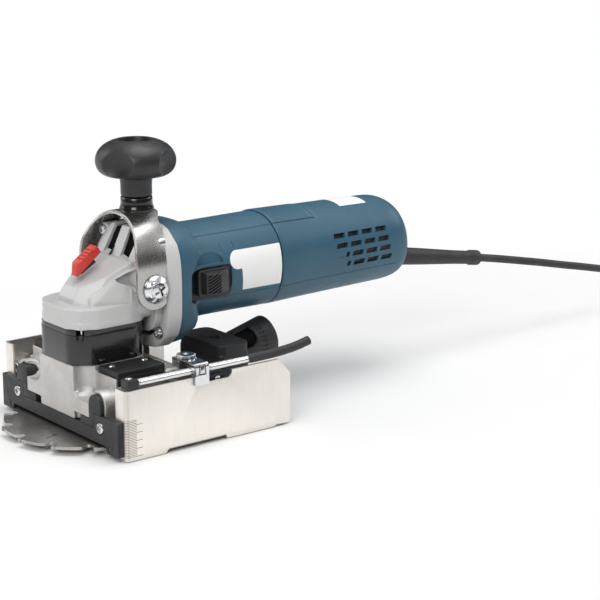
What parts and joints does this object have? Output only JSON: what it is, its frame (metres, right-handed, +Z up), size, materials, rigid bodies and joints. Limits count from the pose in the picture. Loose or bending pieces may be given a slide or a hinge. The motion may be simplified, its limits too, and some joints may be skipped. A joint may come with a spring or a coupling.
{
  "type": "biscuit joiner",
  "caption": "Corded plunge slot cutter: angle-drive motor with a bow handle and round knob, sliding on rails in an open steel base with a flat saw blade, depth rod and dust port.",
  "frame": {"origin": "on the flat underside of the base, straight below the spindle axis with the machine fully plunged", "axes": "+Z up away from the work surface, +Y from the fence back along the motor, so the blade cuts towards -Y; +X is the side with the power switch"},
  "size_m": [0.1469, 0.5328, 0.1819],
  "materials": {
    "stainless_sheet": "satin stainless sheet, vertical rolling grain",
    "black_plastic": "fine-textured black moulding",
    "gloss_black": "smooth glossy black moulding",
    "black_steel": "black oxide steel, semi-matt",
    "cast_aluminium": "bare sand-blasted casting",
    "grey_enamel": "die casting with light grey paint",
    "blue_plastic": "petrol blue glass-filled nylon, fine texture",
    "zinc_screw": "bright zinc plating",
    "steel": "ground steel",
    "blade_steel": "ground saw steel, slightly smoked",
    "strap_steel": "brushed steel strap",
    "red_plastic": "red moulding",
    "rubber": "soft black rubber",
    "copper": "copper windings and bars",
    "iron_core": "stacked iron laminations",
    "carbon": "pressed carbon",
    "spring_steel": "spring wire"
  },
  "bodies": {
    "base": {"base_shell": "stainless_sheet", "fence_plate": "black_steel", "fence_screw_left": "zinc_screw", "fence_screw_right": "zinc_screw", "guide_rail_left": "black_steel", "guide_rail_right": "black_steel", "dust_hood": "black_plastic", "dust_hood_screw": "zinc_screw", "dust_nozzle": "black_plastic", "return_spring_left": "spring_steel", "return_spring_right": "spring_steel"},
    "carriage": {"carriage_casting": "cast_aluminium", "slide_cover_left": "black_plastic", "slide_cover_right": "black_plastic", "slide_cover_screw_left_1": "zinc_screw", "slide_cover_screw_left_2": "zinc_screw", "head_spacer": "gloss_black", "bearing_flange": "gloss_black", "gear_housing": "grey_enamel", "housing_screw_1": "zinc_screw", "housing_screw_2": "zinc_screw", "gearbox_flange": "grey_enamel", "flange_screw_1": "zinc_screw", "flange_screw_2": "zinc_screw", "motor_housing": "blue_plastic", "rear_cover": "blue_plastic", "spindle_bearing_lower": "steel", "spindle_bearing_upper": "steel", "armature_bearing_front": "steel", "armature_bearing_rear": "steel", "stator_core": "iron_core", "brush_carrier": "black_plastic", "carbon_brush_left": "carbon", "carbon_brush_right": "carbon", "power_switch": "black_plastic", "strain_relief": "rubber", "power_cord": "rubber", "depth_stop_clip": "zinc_screw", "depth_clip_screw": "zinc_screw", "bow_strap": "strap_steel", "strap_screw_left": "zinc_screw", "strap_screw_right": "zinc_screw", "knob_collar": "black_plastic", "knob": "black_plastic"},
    "rod": {"depth_rod": "zinc_screw", "rod_block": "black_plastic", "rod_block_screw": "zinc_screw", "rod_sleeve": "rubber"},
    "spindle_group": {"spindle": "steel", "inner_flange": "steel", "saw_blade": "blade_steel", "blade_nut": "steel", "crown_gear": "steel"},
    "armature": {"armature_shaft": "steel", "pinion_gear": "steel", "cooling_fan": "black_plastic", "armature_core": "copper", "commutator": "copper"},
    "switch": {"switch_slider": "black_plastic"},
    "lock": {"spindle_lock_button": "red_plastic"}
  },
  "joints": [
    {"name": "plunge", "type": "slide", "parent": "base", "child": "carriage", "axis": [0, 1, 0], "range_m": [0, 0.0325]},
    {"name": "depth_adjust", "type": "slide", "parent": "carriage", "child": "rod", "axis": [0, 1, 0], "range_m": [0, 0.03]},
    {"name": "armature_spin", "type": "hinge", "parent": "carriage", "child": "armature", "pos_m": [0, 0.072, 0.0925], "axis": [0, 1, 0], "continuous": true},
    {"name": "spindle_spin", "type": "hinge", "parent": "carriage", "child": "spindle_group", "pos_m": [0, 0, 0.04], "axis": [0, 0, 1], "continuous": true},
    {"name": "switch_slide", "type": "slide", "parent": "carriage", "child": "switch", "axis": [0, -1, 0], "range_m": [0, 0.006]},
    {"name": "spindle_lock_press", "type": "slide", "parent": "carriage", "child": "lock", "axis": [0, 0.4772, -0.8788], "range_m": [0, 0.0028], "stiffness_N_per_m": 400}
  ],
  "couplings": [
    {"joint": "spindle_spin", "follows": "armature_spin", "ratio": 0.33333}
  ]
}
